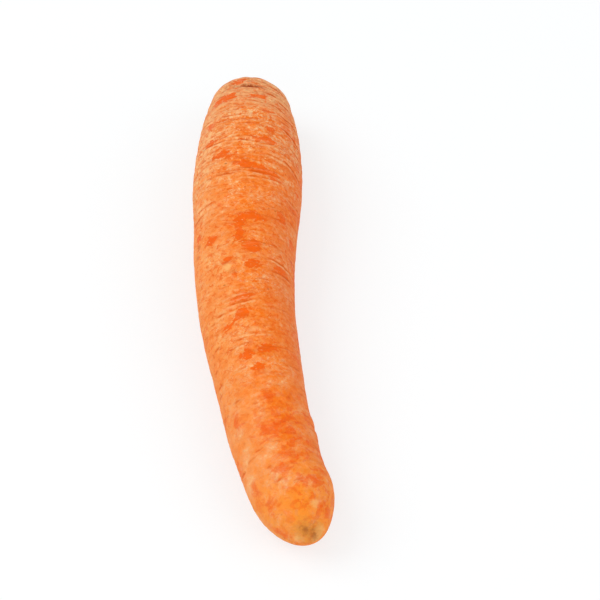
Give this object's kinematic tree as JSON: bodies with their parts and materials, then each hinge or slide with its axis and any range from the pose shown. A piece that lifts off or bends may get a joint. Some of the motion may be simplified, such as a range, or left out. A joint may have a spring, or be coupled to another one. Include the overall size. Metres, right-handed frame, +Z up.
{
  "type": "carrot",
  "caption": "Carrot root lying on its side: gently bent, thick at the trimmed crown, ringed with fine growth creases, tapering to a blunt tip.",
  "frame": {"origin": "centre of the carrot's bounding box in plan, on the surface that it lies on", "axes": "+Y along the root towards the crown, +Z up, +X to the side that the bend is hollow on"},
  "size_m": [0.0408, 0.1848, 0.0367],
  "materials": {
    "carrot_skin": "dry, slightly rough vegetable skin, orange with a paler veil"
  },
  "bodies": {
    "root": {"carrot": "carrot_skin"}
  },
  "joints": []
}
